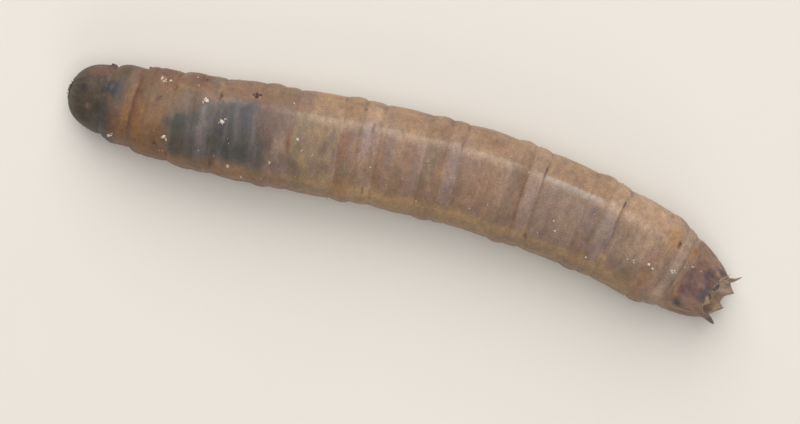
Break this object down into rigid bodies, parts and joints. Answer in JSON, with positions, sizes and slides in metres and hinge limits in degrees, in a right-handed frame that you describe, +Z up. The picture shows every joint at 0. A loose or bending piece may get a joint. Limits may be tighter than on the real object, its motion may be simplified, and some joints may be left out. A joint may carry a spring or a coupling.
{
  "type": "crane fly larva",
  "caption": "Still life-size crane fly larva: a soft ringed body in a gentle bow, head drawn in, pointed lobes round the breathing disc at its tail.",
  "frame": {"origin": "middle of the footprint, on the floor that the larva lies on", "axes": "+X from head to tail along the chord of the body's bow, +Y towards the larva's right side, +Z up"},
  "size_m": [0.05, 0.0092, 0.0066],
  "materials": {
    "head_shell": "dark horny shell, glossy",
    "skin_front": "moist dark skin, semi-gloss",
    "skin_thorax": "moist orange-brown skin, semi-gloss",
    "skin_body": "moist translucent grey-brown skin, semi-gloss",
    "skin_tail": "moist dark brown skin, semi-gloss",
    "disc_flesh": "pale flesh with dark lobe tips"
  },
  "bodies": {
    "root": {"head_capsule": "head_shell", "prothorax": "skin_front", "mesothorax": "skin_thorax", "metathorax": "skin_thorax", "abdomen_1": "skin_body", "abdomen_2": "skin_body", "abdomen_3": "skin_body", "abdomen_4": "skin_body", "abdomen_5": "skin_body", "abdomen_6": "skin_body", "abdomen_7": "skin_body", "anal_segment": "skin_tail", "spiracular_disc": "disc_flesh"}
  },
  "joints": []
}
